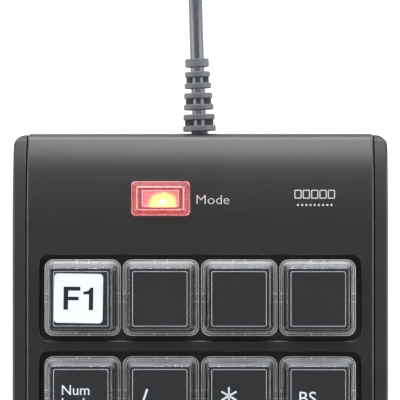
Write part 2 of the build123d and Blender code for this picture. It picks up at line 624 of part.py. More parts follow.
def bend_radii(points):
    """Radius of the arc at each inner point: 0.45 of the shorter run over the tangent of half the turn."""
    radii = []
    for a, b, c in zip(points, points[1:], points[2:]):
        before, after = Vector(*b) - Vector(*a), Vector(*c) - Vector(*b)
        half_turn = radians(before.get_angle(after)) / 2
        radii.append(0.45 * min(before.length, after.length) / tan(half_turn))
    return radii


lead_radii = bend_radii(LEAD_ROUTE)
with BuildPart() as cord:
    with BuildLine() as lead:
        FilletPolyline(*LEAD_ROUTE, radius=lead_radii)
    with BuildSketch(Plane(origin=LEAD_ROUTE[0], z_dir=lead.line % 0)):
        Circle(CORD_R)
    sweep(path=lead.line)
    with BuildLine() as tail:
        Line(*TAIL_ROUTE)
    with BuildSketch(Plane(origin=TAIL_ROUTE[0], z_dir=tail.line % 0)):
        Circle(CORD_R)
    sweep(path=tail.line)
cord.part.label = "cord"; export_step(cord.part, "parts/cord.step")
lead_length = sum(edge.length for edge in (*lead.edges(), *tail.edges()))
print("cord radii", [round(radius, 1) for radius in lead_radii])
print("cord volume", round(cord.part.volume, 1), "section x length", round(pi * CORD_R**2 * lead_length, 1))

with BuildPart() as cord_coil:
    with BuildSketch(Plane.XZ.offset(-COIL_CENTRE[1])):
        with Locations((COIL_CENTRE[0] + COIL_MEAN_R, COIL_SECTION[1] / 2)):
            RectangleRounded(*COIL_SECTION, 2.0)
    revolve(axis=Axis((*COIL_CENTRE, 0), (0, 0, 1)))
cord_coil.part.label = "cord_coil"; export_step(cord_coil.part, "parts/cord_coil.step")

# ================================================================ USB plug, lying beside the coil
PLUG_PLANE = Plane(origin=(PLUG_X, PLUG_Y, PLUG_Z), x_dir=(1, 0, 0), z_dir=(0, -1, 0))
SHELL_START = GRIP_LENGTH - SHELL_SINK
with BuildPart() as usb_plug_grip:
    neck_r, neck_length = GRIP_NECK
    widens_at, full_at = GRIP_SHOULDER
    with BuildSketch(PLUG_PLANE):
        Circle(neck_r)
    extrude(amount=neck_length)
    with BuildSketch(PLUG_PLANE.offset(widens_at)):
        RectangleRounded(*GRIP_WAIST)
    with BuildSketch(PLUG_PLANE.offset(full_at)):
        RectangleRounded(*GRIP_BODY)
    loft()
    with BuildSketch(PLUG_PLANE.offset(full_at)):
        RectangleRounded(*GRIP_BODY)
    extrude(amount=GRIP_LENGTH - full_at)
    with BuildSketch(PLUG_PLANE.offset(SHELL_START)):
        RectangleRounded(*SHELL)
    extrude(amount=SHELL_SINK, mode=Mode.SUBTRACT)
usb_plug_grip.part.label = "usb_plug_grip"; export_step(usb_plug_grip.part, "parts/usb_plug_grip.step")

with BuildPart() as usb_plug_shell:
    shell_width, shell_tall, shell_corner = SHELL
    inner_width, inner_tall = shell_width - 2 * SHELL_WALL, shell_tall - 2 * SHELL_WALL
    with BuildSketch(PLUG_PLANE.offset(SHELL_START)):
        RectangleRounded(*SHELL)
        RectangleRounded(inner_width, inner_tall, shell_corner - 0.2, mode=Mode.SUBTRACT)
    extrude(amount=SHELL_LENGTH)
    # back wall of the shell, which carries the tongue
    with BuildSketch(PLUG_PLANE.offset(SHELL_START)):
        Rectangle(inner_width, inner_tall)
    extrude(amount=SHELL_BACK)
    # latch windows above and below
    latch_width, latch_length, latch_at = LATCH
    with BuildSketch(Plane((PLUG_X, PLUG_Y - GRIP_LENGTH - latch_at, 0))):
        with GridLocations(2 * latch_width, 0, 2, 1):
            Rectangle(latch_width, latch_length)
    extrude(amount=2 * PLUG_Z, mode=Mode.SUBTRACT)
usb_plug_shell.part.label = "usb_plug_shell"; export_step(usb_plug_shell.part, "parts/usb_plug_shell.step")
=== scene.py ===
import json
from math import cos, pi, radians, sin

import bmesh
import bpy
from mathutils import Matrix, Vector
from mathutils.bvhtree import BVHTree


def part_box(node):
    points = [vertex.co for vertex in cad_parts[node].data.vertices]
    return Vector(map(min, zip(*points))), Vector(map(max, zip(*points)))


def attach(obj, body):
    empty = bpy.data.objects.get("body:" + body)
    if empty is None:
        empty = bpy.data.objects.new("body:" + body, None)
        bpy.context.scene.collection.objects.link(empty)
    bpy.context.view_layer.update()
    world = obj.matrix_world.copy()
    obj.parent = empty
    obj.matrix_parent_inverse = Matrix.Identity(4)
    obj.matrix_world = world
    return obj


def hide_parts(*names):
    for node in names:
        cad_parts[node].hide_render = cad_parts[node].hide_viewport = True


# The looks of a USB numeric keypad with relegendable keys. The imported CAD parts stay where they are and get
# their materials here. Added to them are the legend cards and their printing, the F1 label, the printing on
# the panel, the glow under the mode button, the cord with its wound spare length and its ties, and the inside
# of the USB plug. Metres; +Z is up, +Y is the rear edge where the cord leaves.

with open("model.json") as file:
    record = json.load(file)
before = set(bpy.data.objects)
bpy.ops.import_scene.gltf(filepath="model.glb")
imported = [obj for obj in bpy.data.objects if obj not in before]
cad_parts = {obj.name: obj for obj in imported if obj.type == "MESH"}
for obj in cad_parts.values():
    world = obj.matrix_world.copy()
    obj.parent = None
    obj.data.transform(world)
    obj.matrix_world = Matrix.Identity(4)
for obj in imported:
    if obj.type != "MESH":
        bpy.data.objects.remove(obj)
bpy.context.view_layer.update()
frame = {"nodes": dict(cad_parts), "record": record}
nodes = frame["nodes"]
slot_of = {part["node"]: part["material_slot"] for part in frame["record"]["subparts"]}
KEYS = sorted(name[: -len("_cover")] for name in nodes if name.startswith("key_") and name.endswith("_cover"))
MM = 0.001
LENS_LIT_FROM = (18.9 * MM, 19.4 * MM)  # the Mode button is dark below the first height, lit above the second


# ================================================================ camera
CAMERA_PLACE = Vector((12.6, 62.8, 692.0)) * MM
CAMERA_AIM = Vector((0.0, 62.1, 19.5)) * MM
LENS = 249.6


def add_camera():
    """Nearly straight above the rear half, a little to the right of the middle."""
    camera = bpy.data.objects.new("camera", bpy.data.cameras.new("camera"))
    bpy.context.scene.collection.objects.link(camera)
    back = CAMERA_PLACE - CAMERA_AIM
    camera.location = CAMERA_PLACE
    camera.rotation_euler = (-back.y / back.z, back.x / back.z, 0.0)
    camera.data.lens = LENS
    camera.data.clip_start = 0.01
    camera.data.clip_end = 20.0
    bpy.context.scene.camera = camera


# ================================================================ node materials
def add_node(tree, kind, inputs=None, **settings):
    """A shader node; an input given as a socket is linked, and anything else is set."""
    made = tree.nodes.new(kind)
    for name, value in settings.items():
        setattr(made, name, value)
    for socket, value in (inputs or {}).items():
        if isinstance(value, bpy.types.NodeSocket):
            tree.links.new(value, made.inputs[socket])
        else:
            made.inputs[socket].default_value = value
    return made


def new_material(name):
    """An empty Principled material, with its tree, its shader and the coordinates of the row frame."""
    material = bpy.data.materials.new(name)
    material.use_nodes = True
    tree = material.node_tree
    where = tree.nodes.new("ShaderNodeTexCoord").outputs["Object"]
    return material, tree, tree.nodes["Principled BSDF"], where


def noise(tree, where, size, detail=2.0, roughness=0.5):
    """Noise whose features are about this many metres across."""
    inputs = {"Vector": where, "Scale": 1 / size, "Detail": detail, "Roughness": roughness}
    return add_node(tree, "ShaderNodeTexNoise", inputs).outputs["Fac"]


def spread(tree, value, low, high, start=0.3, end=0.7):
    """Maps a value's start..end to low..high."""
    inputs = {"Value": value, "From Min": start, "From Max": end, "To Min": low, "To Max": high}
    return add_node(tree, "ShaderNodeMapRange", inputs).outputs["Result"]


def blend_colours(tree, factor, first, second):
    """Mixes two colours; each is a socket or three numbers."""
    mixer = add_node(tree, "ShaderNodeMix", {"Factor": factor}, data_type="RGBA")
    for socket, colour in ((6, first), (7, second)):
        if isinstance(colour, bpy.types.NodeSocket):
            tree.links.new(colour, mixer.inputs[socket])
        else:
            mixer.inputs[socket].default_value = (*colour, 1.0)
    return mixer.outputs[2]


def calculate(tree, operation, first, second=0.0):
    """One step of arithmetic on two sockets or numbers."""
    return add_node(tree, "ShaderNodeMath", {0: first, 1: second}, operation=operation).outputs[0]


def edges_of(tree, radius, blunt=0.80):
    """1 on sharp edges and 0 on flat faces: how far a rounded normal turns from the true one. A higher blunt
    counts slighter edges in full."""
    rounded = add_node(tree, "ShaderNodeBevel", {"Radius": radius}, samples=4).outputs["Normal"]
    flat = tree.nodes.new("ShaderNodeNewGeometry").outputs["Normal"]
    compared = add_node(tree, "ShaderNodeVectorMath", {0: rounded, 1: flat}, operation="DOT_PRODUCT")
    return spread(tree, compared.outputs["Value"], 1.0, 0.0, blunt, 0.99)


def let_lamps_through(tree, shader, tint):
    """Lamps shine through the surface with this tint, so that what is behind it isn't in shadow."""
    passing = add_node(tree, "ShaderNodeBsdfTransparent", {"Color": (*tint, 1.0)})
    lamp_ray = tree.nodes.new("ShaderNodeLightPath").outputs["Is Shadow Ray"]
    mixed = add_node(tree, "ShaderNodeMixShader", {0: lamp_ray, 1: shader.outputs[0], 2: passing.outputs[0]})
    tree.links.new(mixed.outputs[0], tree.nodes["Material Output"].inputs["Surface"])


def moulded(name, colour, roughness, grain=0.35, depth=0.010, shade=0.15, wear=None, specular=0.5):
    """Moulded plastic, vinyl or rubber: fine grain, faint flow marks in colour and gloss, and worn edges."""
    material, tree, shader, where = new_material(name)
    fine = noise(tree, where, grain * MM, 3.0, 0.6)
    broad = noise(tree, where, 11 * MM, 3.0)
    dark = [channel * (1 - shade) for channel in colour]
    light = [channel * (1 + shade) for channel in colour]
    tone = blend_colours(tree, spread(tree, broad, 0.0, 1.0), dark, light)
    gloss = spread(tree, fine, roughness - 0.05, roughness + 0.05)
    if wear:
        scuffs = spread(tree, noise(tree, where, 2.5 * MM, 4.0, 0.7), 0.0, 1.0, 0.42, 0.62)
        worn = calculate(tree, "MULTIPLY", edges_of(tree, 0.5 * MM), scuffs)
        tone = blend_colours(tree, worn, tone, wear)
        gloss = calculate(tree, "SUBTRACT", gloss, calculate(tree, "MULTIPLY", worn, 0.12))
    bump = add_node(tree, "ShaderNodeBump", {"Height": fine, "Strength": 0.5, "Distance": depth * MM})
    tree.links.new(tone, shader.inputs["Base Color"])
    tree.links.new(gloss, shader.inputs["Roughness"])
    tree.links.new(bump.outputs["Normal"], shader.inputs["Normal"])
    shader.inputs["Specular IOR Level"].default_value = specular
    return material


def metal(name, colour, roughness, streak=(0.2, 0.2, 6.0)):
    """Plated or pressed metal: streaks drawn along one direction, in gloss and relief."""
    material, tree, shader, where = new_material(name)
    inputs = {"Vector": where, "Scale": [1 / (size * MM) for size in streak]}
    stretched = add_node(tree, "ShaderNodeMapping", inputs, vector_type="POINT").outputs["Vector"]
    drawn = noise(tree, stretched, 1.0, 3.0)
    tarnish = spread(tree, noise(tree, where, 3 * MM, 3.0), 0.0, 1.0)
    dull = [channel * 0.8 for channel in colour]
    tree.links.new(blend_colours(tree, tarnish, dull, colour), shader.inputs["Base Color"])
    tree.links.new(spread(tree, drawn, roughness - 0.07, roughness + 0.1), shader.inputs["Roughness"])
    bump = add_node(tree, "ShaderNodeBump", {"Height": drawn, "Strength": 0.3, "Distance": 0.005 * MM})
    tree.links.new(bump.outputs["Normal"], shader.inputs["Normal"])
    shader.inputs["Metallic"].default_value = 1.0
    return material


def clear(name, colour, shadow, haze=0.03, painted_light_shares=(1.0, 0.0, 0.30), line=0.38):
    """Clear polished plastic with hairline wear. Three shares of painted light make it white and less clear: a
    painted highlight on its edges, and painted light on its steep walls and on those that face the rear
    lamps. Light from lamps passes, tinted by shadow."""
    material, tree, shader, where = new_material(name)
    hairs = noise(tree, where, 0.6 * MM, 4.0, 0.65)
    clouds = noise(tree, where, 5 * MM, 3.0)
    tint = [channel * 0.97 for channel in colour]
    edge = edges_of(tree, line * MM)
    mass = blend_colours(tree, clouds, tint, colour)
    # Painted highlight: the edges are blended towards white.
    tree.links.new(blend_colours(tree, edge, mass, (0.99, 0.995, 1.0)), shader.inputs["Base Color"])
    tree.links.new(spread(tree, hairs, haze * 0.4, haze * 1.8), shader.inputs["Roughness"])
    bump = add_node(tree, "ShaderNodeBump", {"Height": hairs, "Strength": 0.12, "Distance": 0.004 * MM})
    tree.links.new(bump.outputs["Normal"], shader.inputs["Normal"])
    # Painted light: edges, and steep walls that face the rear lamps, are made white and less clear.
    normal = tree.nodes.new("ShaderNodeNewGeometry").outputs["Normal"]
    facing = add_node(tree, "ShaderNodeSeparateXYZ", {0: normal})
    steep = calculate(tree, "SUBTRACT", 1.0, calculate(tree, "ABSOLUTE", facing.outputs["Z"]))
    on_edges = calculate(tree, "MULTIPLY", edge, painted_light_shares[0])
    painted_rear_light = spread(tree, facing.outputs["Y"], painted_light_shares[1], painted_light_shares[2], 0.5, 0.95)
    painted_whiteness = calculate(tree, "ADD", on_edges, calculate(tree, "MULTIPLY", steep, painted_rear_light))
    tree.links.new(calculate(tree, "SUBTRACT", 1.0, painted_whiteness), shader.inputs["Transmission Weight"])
    shader.inputs["IOR"].default_value = 1.49
    let_lamps_through(tree, shader, shadow)
    return material


def lit_lens(name, colour, pale, shadow):
    """Tinted clear plastic with light inside: a red mass, pale where the light leaves at its edges, and dark
    below the panel."""
    material, tree, shader, where = new_material(name)
    hairs = noise(tree, where, 0.5 * MM, 4.0, 0.65)
    mottle = spread(tree, noise(tree, where, 1.3 * MM, 3.0, 0.6), 0.45, 1.0, 0.35, 0.65)
    on_edges = edges_of(tree, 0.42 * MM, 0.93)
    height = add_node(tree, "ShaderNodeSeparateXYZ", {0: where}).outputs["Z"]
    above = spread(tree, height, 0.06, 1.0, *LENS_LIT_FROM)
    tree.links.new(blend_colours(tree, on_edges, colour, pale), shader.inputs["Base Color"])
    red = blend_colours(tree, mottle, (0.0, 0.0, 0.0), (0.17, 0.02, 0.025))
    light = blend_colours(tree, on_edges, red, (0.72, 0.46, 0.47))
    tree.links.new(blend_colours(tree, above, (0.0, 0.0, 0.0), light), shader.inputs["Emission Color"])
    shader.inputs["Emission Strength"].default_value = 2.0
    tree.links.new(spread(tree, hairs, 0.05, 0.22), shader.inputs["Roughness"])
    bump = add_node(tree, "ShaderNodeBump", {"Height": hairs, "Strength": 0.2, "Distance": 0.006 * MM})
    tree.links.new(bump.outputs["Normal"], shader.inputs["Normal"])
    clearness = calculate(tree, "SUBTRACT", 0.96, calculate(tree, "MULTIPLY", on_edges, 0.7))
    tree.links.new(clearness, shader.inputs["Transmission Weight"])
    shader.inputs["IOR"].default_value = 1.49
    let_lamps_through(tree, shader, shadow)
    return material


def printed(name, colour, shade=0.08, roughness=0.6, specular=0.5):
    """Ink or paper: slightly uneven cover, with a fine fibre relief."""
    return moulded(name, colour, roughness, grain=0.12, depth=0.004, shade=shade, specular=specular)


def glowing(name, centre, size, tones, strength):
    """A lit plate, brightest at one place, falling off through its three tones."""
    material, tree, shader, where = new_material(name)
    inputs = {"Vector": where, "Location": [-place / reach for place, reach in zip(centre, size)]}
    inputs["Scale"] = [1 / reach for reach in size]
    local = add_node(tree, "ShaderNodeMapping", inputs, vector_type="POINT").outputs["Vector"]
    away = add_node(tree, "ShaderNodeVectorMath", {0: local}, operation="LENGTH").outputs["Value"]
    mottle = calculate(tree, "MULTIPLY", noise(tree, where, 1.1 * MM, 2.0), 0.7)
    reach = calculate(tree, "ADD", away, calculate(tree, "SUBTRACT", mottle, 0.35))
    inner = blend_colours(tree, spread(tree, reach, 0.0, 1.0, 0.0, 0.35), tones[0], tones[1])
    light = blend_colours(tree, spread(tree, reach, 0.0, 1.0, 0.75, 1.25), inner, tones[2])
    tree.links.new(light, shader.inputs["Emission Color"])
    tree.links.new(light, shader.inputs["Base Color"])
    tree.links.new(spread(tree, mottle, 0.35, 0.6, 0.0, 0.7), shader.inputs["Roughness"])
    bump = add_node(tree, "ShaderNodeBump", {"Height": mottle, "Strength": 0.3, "Distance": 0.01 * MM})
    tree.links.new(bump.outputs["Normal"], shader.inputs["Normal"])
    shader.inputs["Emission Strength"].default_value = strength
    return material


PANEL_BLACK, PANEL_WEAR = (0.009, 0.0085, 0.009), (0.06, 0.06, 0.065)
SURFACES = {
    "case_plastic": moulded("case_plastic", (0.024, 0.024, 0.026), 0.50, wear=(0.075, 0.075, 0.08)),
    "panel_plastic": moulded("panel_plastic", PANEL_BLACK, 0.42, wear=PANEL_WEAR, specular=0.8),
    # The clear plastics get painted highlights on their edges and painted light on walls that face the rear
    # lamps.
    "clear_cover": clear("clear_cover", (0.88, 0.90, 0.92), (0.84, 0.86, 0.87)),
    "key_plastic": moulded("key_plastic", (0.012, 0.012, 0.013), 0.42, grain=0.25, depth=0.006),
    "mode_lens": lit_lens("mode_lens", (1.0, 0.60, 0.60), (1.0, 0.80, 0.80), (0.9, 0.5, 0.5)),
    "led_lens": clear("led_lens", (1.0, 0.25, 0.2), (0.9, 0.3, 0.3), haze=0.08),
    "dome_rubber": moulded("dome_rubber", (0.42, 0.42, 0.41), 0.55, grain=0.5),
    "board": moulded("board", (0.02, 0.11, 0.05), 0.35, grain=0.8, depth=0.02),
    "switch_plastic": moulded("switch_plastic", (0.04, 0.04, 0.04), 0.45),
    "screw_steel": metal("screw_steel", (0.52, 0.53, 0.55), 0.32),
    "foot_rubber": moulded("foot_rubber", (0.022, 0.022, 0.023), 0.75, grain=0.3, depth=0.02),
    "tilt_plastic": moulded("tilt_plastic", (0.024, 0.024, 0.026), 0.50, wear=(0.07, 0.07, 0.075)),
    "relief_rubber": moulded("relief_rubber", (0.115, 0.122, 0.135), 0.50, grain=0.3, depth=0.014),
    "cord_jacket": moulded("cord_jacket", (0.055, 0.063, 0.077), 0.30, grain=0.9, depth=0.008, specular=1.0),
    "plug_grip": moulded("plug_grip", (0.085, 0.090, 0.100), 0.52, grain=0.3, depth=0.016),
    "plug_steel": metal("plug_steel", (0.66, 0.65, 0.63), 0.26, streak=(0.15, 5.0, 0.15)),
}
CARD_PAPER = printed("card_paper", (0.013, 0.0135, 0.015), 0.06, specular=0.2)
LABEL_PAPER = printed("label_paper", (0.88, 0.88, 0.88), 0.02)
WHITE_INK = printed("white_ink", (0.86, 0.87, 0.88), 0.04)
BLACK_INK = printed("black_ink", (0.008, 0.0075, 0.008), 0.10, specular=0.2)
PANEL_INK = printed("panel_ink", (0.58, 0.58, 0.58), 0.10)
TIE_PLASTIC = moulded("tie_plastic", (0.02, 0.02, 0.021), 0.4, grain=0.3)
TONGUE_PLASTIC = moulded("tongue_plastic", (0.78, 0.78, 0.76), 0.45, grain=0.3)
CONTACT_GOLD = metal("contact_gold", (0.86, 0.62, 0.26), 0.24, streak=(0.1, 3.0, 0.1))


def dress_frame():
    """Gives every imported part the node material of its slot."""
    for name, part in nodes.items():
        for slot in part.material_slots:
            slot.material = SURFACES[slot_of[name]]


SAME_PLACE = 0.002 * MM
SEAM_ANGLE = radians(15)


def blend_seams(part, limit):
    """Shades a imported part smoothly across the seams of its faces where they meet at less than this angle."""
    mesh = part.data
    places = [tuple(round(value / SAME_PLACE) for value in corner.co) for corner in mesh.vertices]
    meeting = {}
    for face in mesh.polygons:
        for corner in face.vertices:
            meeting.setdefault(places[corner], []).append((face.normal.copy(), face.area))
    closest = cos(limit)
    blended = []
    for face in mesh.polygons:
        for corner in face.vertices:
            total = Vector()
            for normal, area in meeting[places[corner]]:
                if normal.dot(face.normal) > closest:
                    total += normal * area
            blended.append(total.normalized())
    mesh.normals_split_custom_set(blended)


# ================================================================ pieces from outlines and text
def add_piece(name, mesh, material, body):
    """A shown piece with one material, riding on a body."""
    mesh.materials.clear()
    mesh.materials.append(material)
    piece = bpy.data.objects.new(name, mesh)
    bpy.context.scene.collection.objects.link(piece)
    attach(piece, body)
    return piece


def plates(outlines, thickness):
    """Mesh of flat outlines, anticlockwise from above, made this thick upwards from z = 0."""
    made = bmesh.new()
    for outline in outlines:
        face = made.faces.new([made.verts.new((x, y, 0.0)) for x, y in outline])
        raised = bmesh.ops.extrude_face_region(made, geom=[face])["geom"]
        for corner in raised:
            if isinstance(corner, bmesh.types.BMVert):
                corner.co.z += thickness
    bmesh.ops.triangulate(made, faces=[face for face in made.faces if len(face.verts) > 4])
    bmesh.ops.recalc_face_normals(made, faces=made.faces)
    mesh = bpy.data.meshes.new("plates")
    made.to_mesh(mesh)
    made.free()
    return mesh


def rounded(width, depth, corner, steps=6):
    """Outline of a rounded rectangle round the origin."""
    outline = []
    for x, y, start in ((1, 1, 0.0), (-1, 1, 0.5), (-1, -1, 1.0), (1, -1, 1.5)):
        for step in range(steps + 1):
            angle = pi * (start + 0.5 * step / steps)
            centre = x * (width / 2 - corner), y * (depth / 2 - corner)
            outline.append((centre[0] + corner * cos(angle), centre[1] + corner * sin(angle)))
    return outline


def bar(start, end, width):
    """Outline of a straight stroke between two points."""
    along = (Vector(end) - Vector(start)).normalized() * (width / 2)
    aside = Vector((-along.y, along.x))
    corners = Vector(start) - aside, Vector(end) - aside, Vector(end) + aside, Vector(start) + aside
    return [tuple(corner) for corner in corners]


def text_mesh(text, size, thickness, offset=0.0):
    """Mesh of a line of text in Blender's own font, from its left edge and baseline."""
    curve = bpy.data.curves.new("text", "FONT")
    curve.body = text
    curve.size = size
    curve.extrude = thickness / 2
    curve.offset = offset
    curve.resolution_u = 4
    writer = bpy.data.objects.new("text", curve)
    bpy.context.scene.collection.objects.link(writer)
    graph = bpy.context.evaluated_depsgraph_get()
    mesh = bpy.data.meshes.new_from_object(writer.evaluated_get(graph))
    bpy.data.objects.remove(writer)
    left = min(corner.co.x for corner in mesh.vertices)
    mesh.transform(Matrix.Translation((-left, 0.0, thickness / 2)))
    return mesh


CAPITAL = max(corner.co.y for corner in text_mesh("H", 1.0, 0.0).vertices)


def letters(text, capital, thickness=0.02 * MM, offset=0.0):
    """Text whose capitals are this tall."""
    return text_mesh(text, capital / CAPITAL, thickness, offset)


def joined(meshes):
    """One mesh of several."""
    whole = bmesh.new()
    for mesh in meshes:
        whole.from_mesh(mesh)
    result = bpy.data.meshes.new("joined")
    whole.to_mesh(result)
    whole.free()
    return result


def shifted(mesh, x, y, z=0.0):
    mesh.transform(Matrix.Translation((x, y, z)))
    return mesh


# ================================================================ legend cards and their printing
CARD_T = 0.14 * MM
INK_T = 0.02 * MM
BASE_TAPER = 3.1 * MM  # a key base is this much narrower at its top than at its skirt
LEGEND_INSET = 4.7 * MM  # a legend starts this far from the left edge of the key's cover
LABEL_T = 0.08 * MM


def printed_words(lines, capital, top, pitch=0.0):
    """Lines of white lettering, set from the cover's left rear corner at the origin."""
    rows = [letters(line, capital) for line in lines]
    for row, mesh in enumerate(rows):
        shifted(mesh, LEGEND_INSET, -top - capital - row * pitch)
    return joined(rows)


def printed_strokes(strokes, width, top):
    """Lettering drawn with straight strokes, in millimetres from its own left top corner."""
    outlines = []
    for x0, y0, x1, y1 in strokes:
        outlines.append(bar((x0 * MM, -y0 * MM), (x1 * MM, -y1 * MM), width))
    return shifted(plates(outlines, INK_T), LEGEND_INSET, -top)


def asterisk_strokes(reach):
    """Six arms from a centre, one of them straight back."""
    arms = []
    for arm in range(6):
        angle = radians(90 + 60 * arm)
        arms.append((reach, reach, reach + reach * cos(angle), reach - reach * sin(angle)))
    return arms


DIGIT, WORD, SIGN = 3.3 * MM, 2.35 * MM, 0.42 * MM
LEGENDS = {
    "key_num_lock": lambda: printed_words(["Num", "Lock"], WORD, 6.45 * MM, 3.1 * MM),
    "key_slash": lambda: printed_strokes([(1.5, 0.0, 0.2, 3.9)], 0.46 * MM, 7.4 * MM),
    "key_asterisk": lambda: printed_strokes(asterisk_strokes(2.1), SIGN, 6.9 * MM),
    "key_backspace": lambda: printed_words(["BS"], 3.0 * MM, 8.0 * MM),
    "key_minus": lambda: printed_strokes([(0.0, 1.6, 2.9, 1.6)], SIGN, 7.6 * MM),
    "key_plus": lambda: printed_strokes([(0.0, 1.6, 3.2, 1.6), (1.6, 0.0, 1.6, 3.2)], SIGN, 7.6 * MM),
    "key_decimal": lambda: printed_words(["."], DIGIT, 7.6 * MM),
    "key_enter": lambda: printed_words(["Enter"], WORD, 7.4 * MM),
}
for digit in range(10):
    LEGENDS[f"key_{digit}"] = lambda digit=digit: printed_words([str(digit)], DIGIT, 7.6 * MM)


def add_card(key):
    """The dark paper card on a key base, under its clear cover. Gives the height of its face."""
    low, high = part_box(f"{key}_base")
    middle = (low + high) / 2
    width, depth = high.x - low.x - BASE_TAPER - 0.1 * MM, high.y - low.y - BASE_TAPER - 0.1 * MM
    card = shifted(plates([rounded(width, depth, 0.6 * MM)], CARD_T), middle.x, middle.y, high.z + 0.02 * MM)
    add_piece(f"{key}_card", card, CARD_PAPER, key)
    return high.z + 0.02 * MM + CARD_T


def add_legend(key, face_z):
    """White printing on a key's card."""
    low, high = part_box(f"{key}_cover")
    add_piece(f"{key}_legend", shifted(LEGENDS[key](), low.x, high.y, face_z), WHITE_INK, key)


F_OUTLINE = [(0, 0), (1.11, 0), (1.11, 2.3), (3.62, 2.3), (3.62, 3.16)]
F_OUTLINE += [(1.11, 3.16), (1.11, 4.62), (4.0, 4.62), (4.0, 5.56), (0, 5.56)]
ONE_OUTLINE = [(6.09, 0), (7.13, 0), (7.13, 5.4), (6.4, 5.4), (6.15, 4.86), (5.6, 4.55), (4.73, 4.4)]
ONE_OUTLINE += [(4.73, 3.77), (6.09, 3.77)]


LABEL_SIZE = (11.75 * MM, 11.85 * MM)
LABEL_SHIFT = (-0.55 * MM, 0.1 * MM)  # the label lies this far off the middle of its key
LABEL_TURN = radians(-0.9)
LETTERING_START = (-3.57 * MM, -2.78 * MM)  # left front corner of the lettering from the label's middle


def add_f1_label(face_z):
    """White paper label with bold lettering, laid on the first key's card a little askew."""
    low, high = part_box("key_f1_cover")
    middle = (low + high) / 2
    place = Matrix.Translation((middle.x + LABEL_SHIFT[0], middle.y + LABEL_SHIFT[1], face_z))
    askew = place @ Matrix.Rotation(LABEL_TURN, 4, "Z")
    label = plates([rounded(*LABEL_SIZE, 0.95 * MM)], LABEL_T)
    label.transform(askew)
    add_piece("f1_label", label, LABEL_PAPER, "key_f1")
    glyphs = [[(x * MM, y * MM) for x, y in outline] for outline in (F_OUTLINE, ONE_OUTLINE)]
    lettering = shifted(plates(glyphs, INK_T), *LETTERING_START, LABEL_T)
    lettering.transform(askew)
    add_piece("f1_lettering", lettering, BLACK_INK, "key_f1")


def add_legends():
    for key in KEYS:
        face_z = add_card(key)
        if key in LEGENDS:
            add_legend(key, face_z)
        if key == "key_f1":
            add_f1_label(face_z)


# ================================================================ printing on the panel
PANEL_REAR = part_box("top_cover")[1].y
PRINT_LIFT = 0.012 * MM


def laid_on_panel(mesh):
    """Lowers flat printing on to the panel, point by point."""
    graph = bpy.context.evaluated_depsgraph_get()
    panel = BVHTree.FromObject(nodes["top_cover"], graph)
    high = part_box("top_cover")[1].z + 10 * MM
    for corner in mesh.vertices:
        hit = panel.ray_cast(Vector((corner.co.x, corner.co.y, high)), Vector((0, 0, -1)))[0]
        corner.co.z += hit.z + PRINT_LIFT
    return mesh


MODE_WORD_WIDTH = 7.95 * MM
MODE_WORD_AT = (-0.85 * MM, PANEL_REAR - 17.2 * MM)


def add_mode_lettering():
    """The word beside the lit button, in thin grey print."""
    mesh = letters("Mode", 2.2 * MM, offset=-0.035 * MM)
    width = max(corner.co.x for corner in mesh.vertices)
    mesh.transform(Matrix.Scale(MODE_WORD_WIDTH / width, 4, (1, 0, 0)))
    add_piece("mode_lettering", laid_on_panel(shifted(mesh, *MODE_WORD_AT)), PANEL_INK, "case")


def frame_outline(centre, width, depth, line):
    """A rectangle drawn with four strokes."""
    x, y = centre
    left, right = x - width / 2, x + width / 2
    front, rear = y - depth / 2, y + depth / 2
    corners = [(left, front), (right, front), (right, rear), (left, rear)]
    return [bar(corners[side], corners[(side + 1) % 4], line) for side in range(4)]


def add_panel_mark():
    """A plain pictogram: five small key outlines over a row of dots."""
    left, front, pitch = 22.9 * MM, PANEL_REAR - 18.0 * MM, 2.03 * MM
    first = left + 0.42 * pitch
    outlines = []
    for key in range(5):
        outlines += frame_outline((first + key * pitch, front + 3.2 * MM), 1.5 * MM, 1.9 * MM, 0.24 * MM)
    dot_outline = rounded(0.5 * MM, 0.5 * MM, 0.2 * MM, 3)
    for dot in range(9):
        across, along = first + dot * pitch / 2, front + 0.6 * MM
        outlines.append([(across + x, along + y) for x, y in dot_outline])
    add_piece("panel_mark", laid_on_panel(plates(outlines, INK_T)), PANEL_INK, "case")


# ================================================================ light under the mode button
DIFFUSER_SIZE = (8.0 * MM, 3.7 * MM)
GLOW_TONES = (1.0, 0.97, 0.85), (1.0, 0.80, 0.20), (0.62, 0.13, 0.14)


def add_mode_glow():
    """Diffuser plate inside the mode button, lit from below by the LED: white, then yellow, then red."""
    low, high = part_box("mode_button")
    middle = (low + high) / 2
    hot = (middle.x + 0.6 * MM, middle.y - 0.9 * MM, 0.0)
    light = glowing("mode_glow_light", hot, (3.2 * MM, 2.2 * MM, 1.0), GLOW_TONES, 2.0)
    plate = plates([rounded(*DIFFUSER_SIZE, 0.3 * MM)], 0.3 * MM)
    place = middle.x, middle.y - 0.3 * MM, high.z - 1.6 * MM
    add_piece("mode_diffuser", shifted(plate, *place), light, "mode_button")


# ================================================================ cord
CORD_D = 3.4 * MM
LEAD = [(0.0, 71.8, 10.5), (-0.9, 96.0, 10.5), (-1.4, 115.0, 8.9), (-3.0, 134.0, 3.6), (-6.0, 150.0, 1.7)]
TAIL = [(37.0, 163.0, 8.3), (36.9, 157.0, 5.4), (36.8, 151.0, 4.1)]
COIL_X, COIL_Y = 14.3, 172.0
COIL_MEAN_R = 17.5
COIL_LAYERS = [(1.7, 4), (4.65, 3), (7.55, 4), (10.45, 2)]  # height and number of turns of each layer
TURN_POINTS = 16


def coil_rings():
    """Radius and height of each turn in the order that it is wound: in, out, in, out."""
    rings = []
    for layer, (height, turns) in enumerate(COIL_LAYERS):
        full = 4 if layer % 2 == 0 else 3
        steps = range(full) if layer % 2 == 0 else reversed(range(full))
        rings += [(COIL_MEAN_R + 1.7 * (full - 1 - 2 * step), height) for step in list(steps)[:turns]]
    return rings


